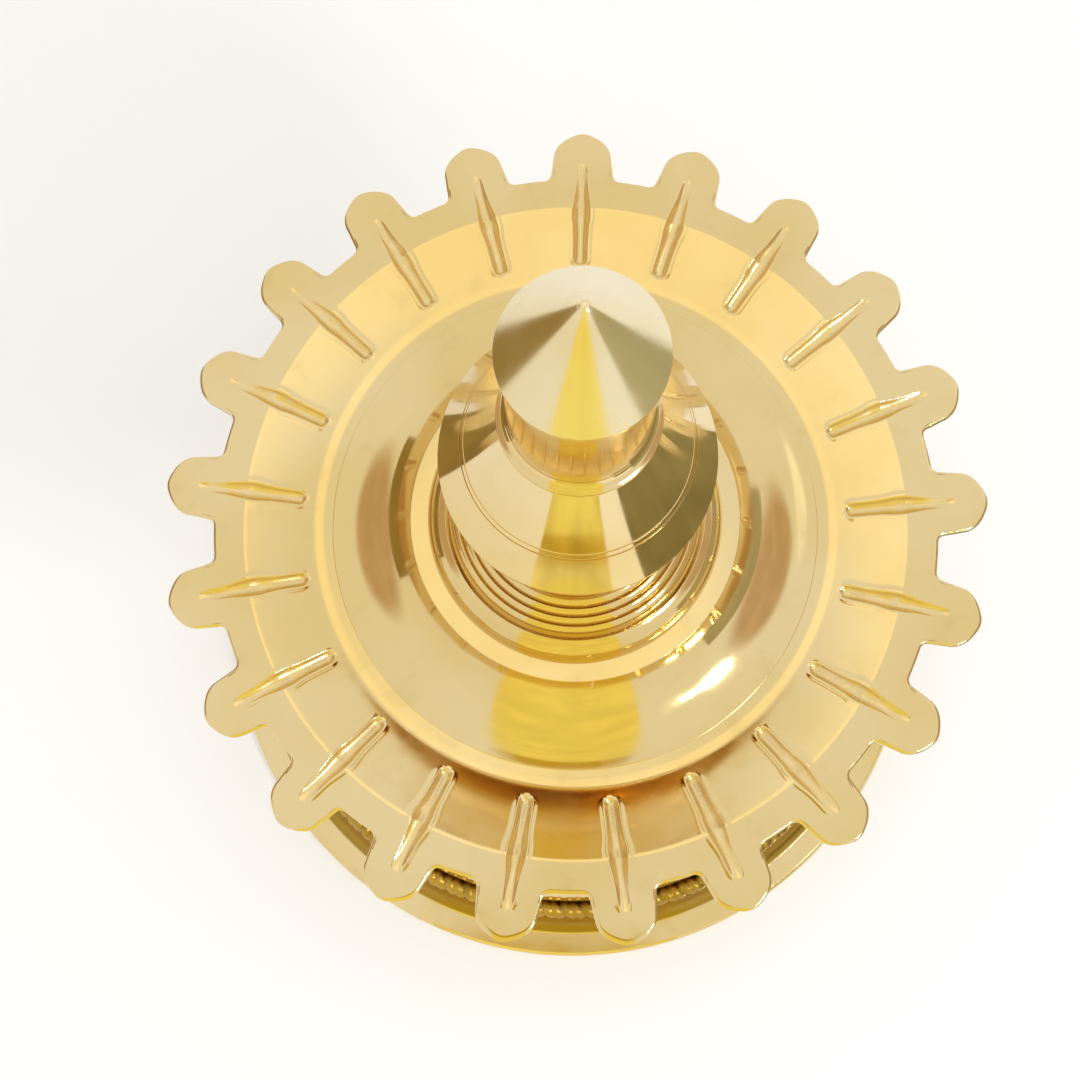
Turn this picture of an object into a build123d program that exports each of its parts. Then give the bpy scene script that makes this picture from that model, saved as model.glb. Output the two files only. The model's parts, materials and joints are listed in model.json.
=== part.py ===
"""A brass standing oil lamp (samai): a bell base, a screwed stem, an oil dish with a ring of
petals and wick grooves, and an upper stem with a bell skirt, a neck and a pointed finial.

Millimetres, +Z up. The origin is the centre of the ring that the lamp stands on.
Sections screw together with studs. Every thread is a plain cylinder at its pitch radius.
"""

import os
from math import cos, pi, radians, sin

from build123d import *

# ---- Driving dimensions -------------------------------------------------------------------
petal_count = 21
dish_radius = 160.0  # centre to petal tip
rim_height = 311.5  # floor to the flat rim of the dish
base_radius = 202.0
apex_height = 572.0
rope_strands = 96

# ---- Threads --------------------------------------------------------------------------------
running_gap = 0.05  # radial gap of a stud in its socket
lower_stud_radius = 13.5
dish_stud_radius = 11.8
finial_stud_radius = 6.7
socket_depth = 16.0  # how far each stud screws into the section below
grip_length = 18.5  # how far each stud is held in the section above
bush_wall = 6.7

# ---- Heights where one section meets the next -----------------------------------------------
base_top = 123.0
lower_disc_top = base_top + 13.5
lower_vase_top = base_top + 64.0
lower_stem_top = base_top + 76.0
middle_disc_top = lower_stem_top + 11.8
middle_spool_top = lower_stem_top + 54.0

# ---- Dish -----------------------------------------------------------------------------------
dish_wall = 4.2
dish_depth = 7.9
valley_radius = 0.875 * dish_radius  # bottom of the notches between petals
rim_inner_radius = 0.80 * dish_radius  # where the flat rim turns down into the bowl
floor_radius = 0.66 * dish_radius  # where the bowl's cone meets its floor
crease_drop = 6.4  # rim down to the outer edge of the floor
dish_floor = rim_height - dish_depth
dish_underside = dish_floor - dish_wall
petal_half_root = 12.7
petal_half_middle = 11.5
notch_fillet = 2.2
edge_round = 1.2

# ---- Wick grooves: one leg down the bowl, one leg out along the petal ------------------------
groove_inner_radius = 3.0
groove_corner_radius = 3.6
groove_outer_radius = 2.6
groove_inner_reach = floor_radius + 3.4
groove_outer_reach = valley_radius + 2.5

# ---- Upper stem -----------------------------------------------------------------------------
cone_foot_radius = 0.592 * dish_radius
cone_top_radius = 0.389 * dish_radius
cone_wall = 3.0
annulus_height = rim_height + 11.8
bead_radius = 55.5
foot_top = annulus_height + 23.5
skirt_radius = 42.5
skirt_edge_height = rim_height + 118.5
skirt_top = rim_height + 168.5
skirt_top_radius = 22.5
neck_radius = 19.4
finial_seat = rim_height + 222.5
finial_radius = 20.5

# ---- Base -----------------------------------------------------------------------------------
base_wall = 2.4
flange_height = 7.6
flange_inner_radius = base_radius - 12.6
rope_core_radius = 171.0
rope_bead_radius = 8.4
rope_ledge = 28.5
seat_radius = rope_core_radius - 3.4
hub_radius = lower_stud_radius + bush_wall + 10.1
bush_bottom = base_top - 28.5

os.makedirs("parts", exist_ok=True)


def save(piece, name):
    """Label a finished piece and write it as its own STEP file."""
    piece.part.label = name
    export_step(piece.part, f"parts/{name}.step")


# ==== Base ===================================================================================

# Hollow cast bell: flat bright flange, steep wall, rope seat, shoulder, cove and mouth.
# The inside follows the outside at the wall's thickness, from the mouth down to the foot.
wall_top_radius = 177.0
wall_bulge = (180.5, 16.8)  # radius and height half way up the steep wall
seat_top = rope_ledge + 16.8
shoulder_bulge = (153.5, 68.0)
shoulder_radius = 119.5
shoulder_top = 83.5
step_top = 87.5
cove_radius = 113.0
cove_hollow = (77.5, 96.0)
mouth_radius = 59.0
mouth_lip = 5.1
mouth_plate = 6.7
bush_radius = lower_stud_radius + bush_wall
with BuildPart() as base_bell:
    with BuildSketch(Plane.XZ):
        with BuildLine():
            outside = Polyline(
                (flange_inner_radius - 1.4 * base_wall, 0),
                (base_radius - 1.5, 0),
                (base_radius, 1.5),
                (base_radius, flange_height - 2),
                (base_radius - 2, flange_height),
                (flange_inner_radius, flange_height),
            )
            wall = ThreePointArc(outside @ 1, wall_bulge, (wall_top_radius, rope_ledge))
            seat = Polyline(wall @ 1, (seat_radius, rope_ledge), (seat_radius, seat_top))
            shoulder = ThreePointArc(seat @ 1, shoulder_bulge, (shoulder_radius, shoulder_top))
            step = Polyline(shoulder @ 1, (shoulder_radius, step_top), (cove_radius, step_top))
            cove = ThreePointArc(step @ 1, cove_hollow, (mouth_radius, base_top - mouth_lip))
            mouth = Polyline(
                cove @ 1,
                (mouth_radius, base_top),
                (bush_radius, base_top),
                (bush_radius, bush_bottom),
                (hub_radius, bush_bottom),
                (hub_radius, base_top - mouth_plate),
                (mouth_radius - base_wall, base_top - mouth_plate),
            )
            inner_cove = ThreePointArc(
                mouth @ 1,
                (cove_hollow[0] - 0.6 * base_wall, cove_hollow[1] - 0.8 * base_wall),
                (cove_radius, shoulder_top + 0.5 - base_wall),
            )
            inner_shoulder = ThreePointArc(
                inner_cove @ 1,
                (shoulder_bulge[0] - 0.65 * base_wall, shoulder_bulge[1] - 0.75 * base_wall),
                (seat_radius - base_wall, seat_top - 0.8),
            )
            inner_seat = Polyline(
                inner_shoulder @ 1,
                (seat_radius - base_wall, rope_ledge - base_wall),
                (wall_top_radius - base_wall, rope_ledge - base_wall),
            )
            ThreePointArc(
                inner_seat @ 1,
                (wall_bulge[0] - 0.9 * base_wall, wall_bulge[1] - 0.7 * base_wall),
                outside @ 0,
            )
        make_face()
    revolve(axis=Axis.Z)
save(base_bell, "base_bell")

# Twisted border: slanted strands around a core ring that is soldered into the bell's seat.
strand_chamfer = 2.5
rope_middle = rope_ledge + rope_bead_radius
rope_spacing = 2 * pi * rope_core_radius / rope_strands
rope_slant = radians(22)
strand_radius = rope_spacing * cos(rope_slant) / 2 - 0.25
strand_height = 2 * (rope_bead_radius - strand_radius * sin(rope_slant))
strand_length = strand_height / cos(rope_slant)
strand_centre_radius = seat_radius + strand_radius + 0.4
core_ring_width = 1.2 * strand_radius

with BuildPart() as rope_strand:
    strand_plane = Plane(
        origin=(strand_centre_radius, 0, rope_middle),
        x_dir=(1, 0, 0),
        z_dir=(0, -sin(rope_slant), cos(rope_slant)),
    )
    with BuildSketch(strand_plane.offset(-strand_length / 2)):
        Circle(strand_radius)
    extrude(amount=strand_length)
    chamfer(rope_strand.edges().filter_by(GeomType.CIRCLE), strand_chamfer)

with BuildPart() as base_rope_band:
    with BuildSketch(Plane.XZ):
        with Locations((seat_radius + core_ring_width / 2, rope_middle)):
            Rectangle(core_ring_width, 1.5 * rope_bead_radius)
    revolve(axis=Axis.Z)
    with PolarLocations(0, rope_strands):
        add(rope_strand.part)
save(base_rope_band, "base_rope_band")

# Bush brazed into the bell's hub: the socket that the lower stud screws into.
with BuildPart() as base_thread_bush:
    with BuildSketch(Plane.XY.offset(bush_bottom)):
        Circle(bush_radius)
        Circle(lower_stud_radius + running_gap, mode=Mode.SUBTRACT)
    extrude(amount=base_top - bush_bottom)
    chamfer(base_thread_bush.edges().filter_by(GeomType.CIRCLE).group_by(Axis.Z)[-1][0], 1.0)
save(base_thread_bush, "base_thread_bush")


# ==== Studs ==================================================================================


def stud_outline(radius, bottom, top):
    """Half section of a stud with chamfered ends."""
    lead = 1.5
    Polyline(
        (0, bottom),
        (radius - lead, bottom),
        (radius, bottom + lead),
        (radius, top - lead),
        (radius - lead, top),
        (0, top),
        (0, bottom),
    )


with BuildPart() as lower_stud:
    with BuildSketch(Plane.XZ):
        with BuildLine():
            stud_outline(lower_stud_radius, base_top - socket_depth, base_top + grip_length)
        make_face()
    revolve(axis=Axis.Z)
save(lower_stud, "lower_stud")

with BuildPart() as middle_stud:
    with BuildSketch(Plane.XZ):
        with BuildLine():
            stud_outline(
                lower_stud_radius, lower_stem_top - socket_depth, lower_stem_top + grip_length
            )
        make_face()
    revolve(axis=Axis.Z)
save(middle_stud, "middle_stud")

# The dish stud passes through the dish, so it is longer by the thickness of the dish's floor.
dish_stud_top = annulus_height + grip_length
with BuildPart() as dish_stud:
    with BuildSketch(Plane.XZ):
        with BuildLine():
            stud_outline(dish_stud_radius, dish_underside - socket_depth, dish_stud_top)
        make_face()
    revolve(axis=Axis.Z)
save(dish_stud, "dish_stud")

finial_stud_top = finial_seat + 11.8
with BuildPart() as finial_stud:
    with BuildSketch(Plane.XZ):
        with BuildLine():
            stud_outline(finial_stud_radius, finial_seat - socket_depth, finial_stud_top)
        make_face()
    revolve(axis=Axis.Z)
save(finial_stud, "finial_stud")


# ==== Lower stem =============================================================================

lower_socket = lower_stud_radius + running_gap

# Flared disc that covers the mouth of the bell, relieved underneath between lip and boss.
disc_lip_radius = 65.5
disc_lip_width = 5.0
disc_lip_height = 4.2
disc_relief = 5.1
disc_boss_radius = 27.0
disc_neck_radius = 35.5
with BuildPart() as lower_disc:
    with BuildSketch(Plane.XZ):
        with BuildLine():
            lip = Polyline(
                (disc_lip_radius - disc_lip_width, base_top + 2),
                (disc_lip_radius - disc_lip_width, base_top),
                (disc_lip_radius - 1.5, base_top),
                (disc_lip_radius, base_top + 2),
                (disc_lip_radius, base_top + disc_lip_height),
            )
            flare = ThreePointArc(
                lip @ 1,
                (disc_neck_radius + 10, base_top + disc_lip_height + 3.4),
                (disc_neck_radius, lower_disc_top),
            )
            Polyline(
                flare @ 1,
                (lower_stud_radius, lower_disc_top),
                (lower_stud_radius, base_top),
                (disc_boss_radius, base_top),
                (disc_boss_radius, base_top + disc_relief),
                (disc_neck_radius + 5, base_top + disc_relief),
                lip @ 0,
            )
        make_face()
    revolve(axis=Axis.Z)
save(lower_disc, "lower_disc")

# Hollow bulb, the widest casting of the stem. Its neck holds the middle stud's socket.
bulb_radius = 50.5
bulb_wall = 3.4
bulb_foot_radius = 30.5
bulb_foot_step = 3.0
bulb_waist_radius = 27.0
bulb_neck_radius = 23.5
bulb_neck_height = 5.1
bulb_floor = 6.7
bulb_middle = (lower_disc_top + lower_vase_top) / 2 - 2
with BuildPart() as lower_vase:
    with BuildSketch(Plane.XZ):
        with BuildLine():
            foot = Polyline(
                (lower_stud_radius, lower_disc_top),
                (bulb_foot_radius, lower_disc_top),
                (bulb_foot_radius, lower_disc_top + bulb_foot_step),
                (bulb_waist_radius, lower_disc_top + bulb_neck_height),
            )
            outside = ThreePointArc(
                foot @ 1,
                (bulb_radius, bulb_middle),
                (bulb_neck_radius, lower_vase_top - bulb_neck_height),
            )
            neck = Polyline(
                outside @ 1,
                (bulb_neck_radius, lower_vase_top),
                (lower_socket, lower_vase_top),
                (lower_socket, lower_vase_top - bulb_neck_height - bulb_wall),
                (bulb_neck_radius - 1.5, lower_vase_top - 2 * bulb_neck_height),
            )
            inside = ThreePointArc(
                neck @ 1,
                (bulb_radius - bulb_wall, bulb_middle),
                (bulb_neck_radius, lower_disc_top + bulb_floor + bulb_wall),
            )
            Polyline(inside @ 1, (lower_stud_radius, lower_disc_top + bulb_floor), foot @ 0)
        make_face()
    revolve(axis=Axis.Z)
save(lower_vase, "lower_vase")

# Moulded ring at the top of the lower section.
cap_ring_radius = 35.5
cap_step_radius = 27.0
with BuildPart() as lower_cap_ring:
    with BuildSketch(Plane.XZ):
        with BuildLine():
            foot = Polyline(
                (lower_socket, lower_vase_top),
                (cap_step_radius, lower_vase_top),
                (cap_step_radius, lower_vase_top + 3),
            )
            bead = ThreePointArc(
                foot @ 1,
                (cap_ring_radius, lower_vase_top + 6.3),
                (cap_step_radius, lower_stem_top - 2),
            )
            Polyline(
                bead @ 1, (cap_step_radius, lower_stem_top), (lower_socket, lower_stem_top), foot @ 0
            )
        make_face()
    revolve(axis=Axis.Z)
save(lower_cap_ring, "lower_cap_ring")


# ==== Dish support ===========================================================================

# Low disc that beds on the cap ring.
middle_disc_radius = 40.5
middle_disc_lip = 4.2
middle_disc_neck_radius = 25.5
with BuildPart() as middle_disc:
    with BuildSketch(Plane.XZ):
        with BuildLine():
            lip = Polyline(
                (lower_stud_radius, lower_stem_top),
                (middle_disc_radius - 2, lower_stem_top),
                (middle_disc_radius, lower_stem_top + 2),
                (middle_disc_radius, lower_stem_top + middle_disc_lip),
            )
            flare = ThreePointArc(
                lip @ 1,
                (middle_disc_neck_radius + 5, lower_stem_top + middle_disc_lip + 2.5),
                (middle_disc_neck_radius, middle_disc_top),
            )
            Polyline(flare @ 1, (lower_stud_radius, middle_disc_top), lip @ 0)
        make_face()
    revolve(axis=Axis.Z)
save(middle_disc, "middle_disc")

# Waisted spool with a bead at its middle, cored out above the stud.
spool_end_radius = 23.5
spool_end_height = 3.0
spool_waist_radius = 19.4
spool_waist_height = 10.1
spool_bead_radius = 28.0
spool_bead_foot = (22.0, 4.2)  # radius, and height from the bead's middle
spool_middle = (middle_disc_top + middle_spool_top) / 2
with BuildPart() as middle_spool:
    with BuildSketch(Plane.XZ):
        with BuildLine():
            foot = Polyline(
                (lower_stud_radius, middle_disc_top),
                (spool_end_radius, middle_disc_top),
                (spool_end_radius, middle_disc_top + spool_end_height),
            )
            lower_waist = ThreePointArc(
                foot @ 1,
                (spool_waist_radius, middle_disc_top + spool_waist_height),
                (spool_bead_foot[0], spool_middle - spool_bead_foot[1]),
            )
            bead = ThreePointArc(
                lower_waist @ 1,
                (spool_bead_radius, spool_middle),
                (spool_bead_foot[0], spool_middle + spool_bead_foot[1]),
            )
            upper_waist = ThreePointArc(
                bead @ 1,
                (spool_waist_radius, middle_spool_top - spool_waist_height),
                (spool_end_radius, middle_spool_top - spool_end_height),
            )
            Polyline(
                upper_waist @ 1,
                (spool_end_radius, middle_spool_top),
                (lower_stud_radius, middle_spool_top),
                foot @ 0,
            )
        make_face()
    revolve(axis=Axis.Z)
save(middle_spool, "middle_spool")

# Open cup under the dish. Its hub is the socket of the dish stud, its rim steadies the floor.
dish_socket = dish_stud_radius + running_gap
cup_foot_radius = 28.5
cup_foot_height = 3.4
cup_rim_radius = 81.0
cup_wall = 3.2
cup_bulge = (57.5, 16.0)  # radius, and height above the spool, half way up the outside
cup_hub_radius = dish_stud_radius + 6.7
cup_floor = middle_spool_top + 10.1
with BuildPart() as dish_cup:
    with BuildSketch(Plane.XZ):
        with BuildLine():
            foot = Polyline(
                (dish_socket, middle_spool_top),
                (cup_foot_radius, middle_spool_top),
                (cup_foot_radius, middle_spool_top + cup_foot_height),
            )
            outside = ThreePointArc(
                foot @ 1,
                (cup_bulge[0], middle_spool_top + cup_bulge[1]),
                (cup_rim_radius, dish_underside - cup_wall),
            )
            rim = Polyline(
                outside @ 1,
                (cup_rim_radius, dish_underside),
                (cup_rim_radius - cup_wall, dish_underside),
            )
            inside = ThreePointArc(
                rim @ 1,
                (cup_bulge[0] - 2, middle_spool_top + cup_bulge[1] + 2.5),
                (cup_hub_radius, cup_floor),
            )
            Polyline(
                inside @ 1, (cup_hub_radius, dish_underside), (dish_socket, dish_underside), foot @ 0
            )
        make_face()
    revolve(axis=Axis.Z)
save(dish_cup, "dish_cup")


# ==== Oil dish ===============================================================================

# One wick groove at +X, cut by two tapered round legs that meet at the rim's inner corner.
groove_inner = Vector(groove_inner_reach, 0, rim_height - crease_drop + 2.6)
groove_corner = Vector(rim_inner_radius, 0, rim_height + 1.2)
groove_outer = Vector(groove_outer_reach, 0, rim_height + 1.3)
groove_legs = (
    (groove_corner, groove_corner_radius, groove_inner, groove_inner_radius),
    (groove_corner, groove_corner_radius, groove_outer, groove_outer_radius),
)
with BuildPart() as wick_groove:
    for start, start_radius, end, end_radius in groove_legs:
        run = end - start
        with BuildSketch(Plane(origin=start, x_dir=run, z_dir=(0, 1, 0))):
            with BuildLine():
                ThreePointArc(
                    (-start_radius, 0),
                    (-start_radius * sin(pi / 4), start_radius * cos(pi / 4)),
                    (0, start_radius),
                )
                Line((0, start_radius), (run.length, end_radius))
                ThreePointArc(
                    (run.length, end_radius),
                    (run.length + end_radius * sin(pi / 4), end_radius * cos(pi / 4)),
                    (run.length + end_radius, 0),
                )
                Line((run.length + end_radius, 0), (-start_radius, 0))
            make_face()
        revolve(axis=Axis(start, run))

# Outline of one petal at +X: nearly straight sides that round in to a soft point.
petal_length = dish_radius - valley_radius
petal_shoulder = valley_radius + 0.44 * petal_length
petal_root = valley_radius - 5.1
petal_flank = (dish_radius - 0.23 * petal_length, 0.74 * petal_half_middle)
with BuildSketch() as petal:
    with BuildLine():
        sides = Polyline(
            (petal_shoulder, -petal_half_middle),
            (petal_root, -petal_half_root),
            (petal_root, petal_half_root),
            (petal_shoulder, petal_half_middle),
        )
        ThreePointArc(sides @ 1, petal_flank, (dish_radius, 0))
        ThreePointArc(sides @ 0, (petal_flank[0], -petal_flank[1]), (dish_radius, 0))
    make_face()

# Flat rim with its ring of petals, edges broken all round.
rim_overlap = 2.0  # how far the bowl's own edge reaches under the rim
with BuildPart() as petal_rim:
    with BuildSketch(Plane.XY.offset(rim_height)):
        Circle(valley_radius)
        with PolarLocations(0, petal_count):
            add(petal.sketch)
    extrude(amount=-dish_wall)
    notch_corners = petal_rim.edges().filter_by(Axis.Z).filter_by(
        lambda edge: Vector(edge.center().X, edge.center().Y).length < valley_radius + 2
    )
    fillet(notch_corners, notch_fillet)
    chamfer(petal_rim.faces().sort_by(Axis.Z)[-1].outer_wire().edges(), edge_round)
    chamfer(petal_rim.faces().sort_by(Axis.Z)[0].outer_wire().edges(), edge_round)
    with BuildSketch(Plane.XY.offset(rim_height)):
        Circle(rim_inner_radius + rim_overlap)
    extrude(amount=-dish_wall, mode=Mode.SUBTRACT)

# Shallow bowl with a flat floor, bored for the dish stud, then the rim and the wick grooves.
dish_bore = dish_stud_radius + 0.5
cove_width = 5.0
crease_height = rim_height - crease_drop
with BuildPart() as oil_dish:
    with BuildSketch(Plane.XZ):
        with BuildLine():
            floor = Line((dish_bore, dish_floor), (floor_radius - cove_width, dish_floor))
            cove = ThreePointArc(
                floor @ 1,
                (floor_radius - cove_width / 2, dish_floor + 0.3 * (crease_height - dish_floor)),
                (floor_radius, crease_height),
            )
            Polyline(
                cove @ 1,
                (rim_inner_radius, rim_height),
                (rim_inner_radius + rim_overlap, rim_height),
                (rim_inner_radius + rim_overlap, rim_height - dish_wall),
                (floor_radius + 1, crease_height - dish_wall),
                (floor_radius - cove_width, dish_underside),
                (dish_bore, dish_underside),
                floor @ 0,
            )
        make_face()
    revolve(axis=Axis.Z)
    add(petal_rim.part)
    with PolarLocations(0, petal_count):
        add(wick_groove.part, mode=Mode.SUBTRACT)
save(oil_dish, "oil_dish")


# ==== Upper stem =============================================================================

# Flared cone that stands in the dish, clamps it, and carries the stem on a flat annulus.
cone_edge = 1.5
cone_foot_width = 7.6
cone_hub_radius = dish_stud_radius + 8.4
cone_bulge = (76.0, 0.36)  # radius, and share of the flare's height, at the middle of the flare
flare_height = annulus_height - dish_floor
with BuildPart() as dish_centre_cone:
    with BuildSketch(Plane.XZ):
        with BuildLine():
            edge = Line((cone_foot_radius, dish_floor), (cone_foot_radius, dish_floor + cone_edge))
            flare = ThreePointArc(
                edge @ 1,
                (cone_bulge[0], dish_floor + cone_bulge[1] * flare_height),
                (cone_top_radius, annulus_height),
            )
            hub = Polyline(
                flare @ 1,
                (dish_stud_radius, annulus_height),
                (dish_stud_radius, dish_floor),
                (cone_hub_radius, dish_floor),
                (cone_hub_radius, annulus_height - cone_wall),
                (cone_top_radius - cone_wall, annulus_height - cone_wall),
            )
            inside = ThreePointArc(
                hub @ 1,
                (cone_bulge[0] - 2, dish_floor + cone_bulge[1] * flare_height - cone_wall),
                (cone_foot_radius - cone_foot_width, dish_floor),
            )
            Line(inside @ 1, edge @ 0)
        make_face()
    revolve(axis=Axis.Z)
save(dish_centre_cone, "dish_centre_cone")

# Foot of the upper stem: a quarter-round bead with a scribed groove, then fine stepped rings.
spigot_radius = 15.2
spigot_height = 6.7
bead_top = annulus_height + 12.6
bead_foot_width = 5.0
foot_cavity_radius = 18.5
foot_cavity_top = annulus_height + 15.2
ring_radii = (45.5, 42.5, 39.5, 36.5)
last_ring_radius = 33.5
ring_rise = 3.2
ring_groove = 0.8
with BuildPart() as stem_foot:
    with BuildSketch(Plane.XZ):
        with BuildLine():
            cavity = Polyline(
                (dish_stud_radius, annulus_height),
                (foot_cavity_radius, annulus_height),
                (foot_cavity_radius, foot_cavity_top),
                (foot_cavity_radius + 12, foot_cavity_top),
                (bead_radius - 6.5, annulus_height + 6.7),
                (bead_radius - bead_foot_width, annulus_height),
                (bead_radius, annulus_height),
            )
            bead = ThreePointArc(
                cavity @ 1,
                (bead_radius - 1.6, annulus_height + 7.2),
                (ring_radii[0] + 2.5, bead_top),
            )
            level = bead_top - 1.2
            Line(bead @ 1, (ring_radii[0], level))
            for wide, narrow in zip(ring_radii, ring_radii[1:] + (last_ring_radius,)):
                ring = ThreePointArc(
                    (wide, level),
                    (wide - 0.25 * ring_rise, level + 0.75 * ring_rise),
                    (narrow + ring_groove, level + ring_rise),
                )
                level += 0.75 * ring_rise
                Line(ring @ 1, (narrow, level))
            Polyline(
                (last_ring_radius, level),
                (last_ring_radius - 1.5, foot_top),
                (spigot_radius, foot_top),
                (spigot_radius, foot_top + spigot_height),
                (0, foot_top + spigot_height),
                (0, dish_stud_top),
                (dish_stud_radius, dish_stud_top),
                cavity @ 0,
            )
        make_face()
    revolve(axis=Axis.Z)
save(stem_foot, "stem_foot")

# Baluster waist that the skirt hides from above, cored out to save brass.
waist_top = skirt_edge_height - 10.1
waist_foot_radius = 28.5
waist_foot_height = 3.4
waist_radius = 20.0
waist_bead_radius = 28.5
waist_bead_foot = 22.0
waist_end_radius = 23.5
hub_bore = 10.1
waist_middle = (foot_top + waist_top) / 2
waist_bead_middle = waist_middle + 15.2
with BuildPart() as waist_spool:
    with BuildSketch(Plane.XZ):
        with BuildLine():
            foot = Polyline(
                (spigot_radius, foot_top),
                (waist_foot_radius, foot_top),
                (waist_foot_radius, foot_top + waist_foot_height),
                (waist_foot_radius - 3, foot_top + 1.5 * waist_foot_height),
            )
            waist = ThreePointArc(
                foot @ 1, (waist_radius, waist_middle - 6.7), (waist_bead_foot, waist_bead_middle - 6.8)
            )
            bead = ThreePointArc(
                waist @ 1,
                (waist_bead_radius, waist_bead_middle),
                (waist_bead_foot, waist_bead_middle + 6.8),
            )
            Polyline(
                bead @ 1,
                (waist_end_radius, waist_top - 3.4),
                (waist_end_radius, waist_top),
                (spigot_radius, waist_top),
                (spigot_radius, waist_top + spigot_height),
                (hub_bore, waist_top + spigot_height),
                (hub_bore, foot_top + spigot_height),
                (spigot_radius, foot_top + spigot_height),
                foot @ 0,
            )
        make_face()
    revolve(axis=Axis.Z)
save(waist_spool, "waist_spool")

# Bell skirt: steep concave flare with two scribed rings, hollow underneath.
scribe_heights = (skirt_edge_height + 16.8, skirt_edge_height + 19.4)
scribe_radii = (34.5, 33.5)
scribe_width = 1.0
skirt_lip = 3.0
skirt_wall = 3.5
skirt_hub_radius = 20.0
skirt_roof = 10.1  # brass above the hub's bore
flare_middle = (32.5, skirt_edge_height + 22)
cavity_top = skirt_top - 20.0
cavity_top_radius = 25.5
with BuildPart() as bell_skirt:
    with BuildSketch(Plane.XZ):
        with BuildLine():
            edge = Polyline(
                (skirt_radius - skirt_wall, skirt_edge_height - skirt_lip),
                (skirt_radius, skirt_edge_height - skirt_lip),
                (skirt_radius, skirt_edge_height),
            )
            flare = ThreePointArc(edge @ 1, flare_middle, (skirt_top_radius, skirt_top))
            hub = Polyline(
                flare @ 1,
                (spigot_radius, skirt_top),
                (spigot_radius, skirt_top + spigot_height),
                (0, skirt_top + spigot_height),
                (0, skirt_top - skirt_roof),
                (hub_bore, skirt_top - skirt_roof),
                (hub_bore, waist_top + spigot_height),
                (spigot_radius, waist_top + spigot_height),
                (spigot_radius, waist_top),
                (skirt_hub_radius, waist_top),
                (skirt_hub_radius, cavity_top),
                (cavity_top_radius, cavity_top),
            )
            ThreePointArc(hub @ 1, (cavity_top_radius + 4, cavity_top - 9.7), edge @ 0)
        make_face()
    revolve(axis=Axis.Z)
    for scribe_radius, scribe_height in zip(scribe_radii, scribe_heights):
        with BuildSketch(Plane.XZ):
            with Locations((scribe_radius, scribe_height)):
                Circle(scribe_width / 2)
        revolve(axis=Axis.Z, mode=Mode.SUBTRACT)
save(bell_skirt, "bell_skirt")

# Plain neck, slightly tapered, bored for the finial's stud.
finial_socket = finial_stud_radius + running_gap
neck_collar = 1.5
neck_cove_height = 5.9
socket_bottom = finial_seat - socket_depth - 2
with BuildPart() as neck_sleeve:
    with BuildSketch(Plane.XZ):
        with BuildLine():
            collar = Polyline(
                (spigot_radius, skirt_top),
                (skirt_top_radius, skirt_top),
                (skirt_top_radius, skirt_top + neck_collar),
            )
            cove = ThreePointArc(
                collar @ 1,
                (neck_radius + 1, skirt_top + 3.4),
                (neck_radius + 0.4, skirt_top + neck_cove_height),
            )
            Polyline(
                cove @ 1,
                (neck_radius - 0.6, finial_seat),
                (finial_socket, finial_seat),
                (finial_socket, socket_bottom),
                (0, socket_bottom - 1.4),
                (0, skirt_top + spigot_height),
                (spigot_radius, skirt_top + spigot_height),
                collar @ 0,
            )
        make_face()
    revolve(axis=Axis.Z)
save(neck_sleeve, "neck_sleeve")


# ==== Finial =================================================================================

finial_edge_height = 3.4
finial_chamfer = 1.0
with BuildPart() as finial_cone:
    with BuildSketch(Plane.XZ):
        with BuildLine():
            Polyline(
                (finial_stud_radius, finial_seat),
                (finial_radius - finial_chamfer, finial_seat),
                (finial_radius, finial_seat + finial_chamfer),
                (finial_radius, finial_seat + finial_edge_height),
                (0, apex_height),
                (0, finial_stud_top),
                (finial_stud_radius, finial_stud_top),
                (finial_stud_radius, finial_seat),
            )
        make_face()
    revolve(axis=Axis.Z)
save(finial_cone, "finial_cone")
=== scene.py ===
"""Looks of a brass standing oil lamp (samai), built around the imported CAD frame. Metres, +Z up.

Every turned piece is turned again from the section of its own CAD node, with finer arcs and eased
edges. The oil dish, the rope border and the threaded studs are meshes of their own.
"""

import json
from math import ceil, cos, hypot, pi, radians, sin, tan

import bmesh
import bpy
import numpy as np
from mathutils import Matrix, Vector


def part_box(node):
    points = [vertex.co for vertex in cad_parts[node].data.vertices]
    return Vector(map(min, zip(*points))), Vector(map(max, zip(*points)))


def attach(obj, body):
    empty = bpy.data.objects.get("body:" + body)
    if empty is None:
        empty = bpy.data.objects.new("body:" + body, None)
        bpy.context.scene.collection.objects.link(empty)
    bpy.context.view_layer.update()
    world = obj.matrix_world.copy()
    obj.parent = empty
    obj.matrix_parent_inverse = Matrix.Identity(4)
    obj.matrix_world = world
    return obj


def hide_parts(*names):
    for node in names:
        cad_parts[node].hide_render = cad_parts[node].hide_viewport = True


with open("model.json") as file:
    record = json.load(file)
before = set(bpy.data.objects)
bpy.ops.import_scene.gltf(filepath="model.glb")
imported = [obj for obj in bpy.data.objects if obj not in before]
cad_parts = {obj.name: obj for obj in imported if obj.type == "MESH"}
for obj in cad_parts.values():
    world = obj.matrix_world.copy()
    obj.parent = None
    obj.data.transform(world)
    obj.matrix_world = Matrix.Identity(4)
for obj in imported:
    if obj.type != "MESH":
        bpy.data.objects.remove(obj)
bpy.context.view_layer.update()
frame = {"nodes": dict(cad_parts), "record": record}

MM = 0.001
MICRON = 1e-6
TINY = 1e-6
PETALS = 21
THREAD_PITCH = 2.5 * MM
CORNER_ANGLE = radians(25)  # a bend sharper than this is a corner, a softer one is part of an arc
STRAIGHT_ANGLE = radians(0.2)  # a chord whose ends turn less than this stays straight

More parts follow.
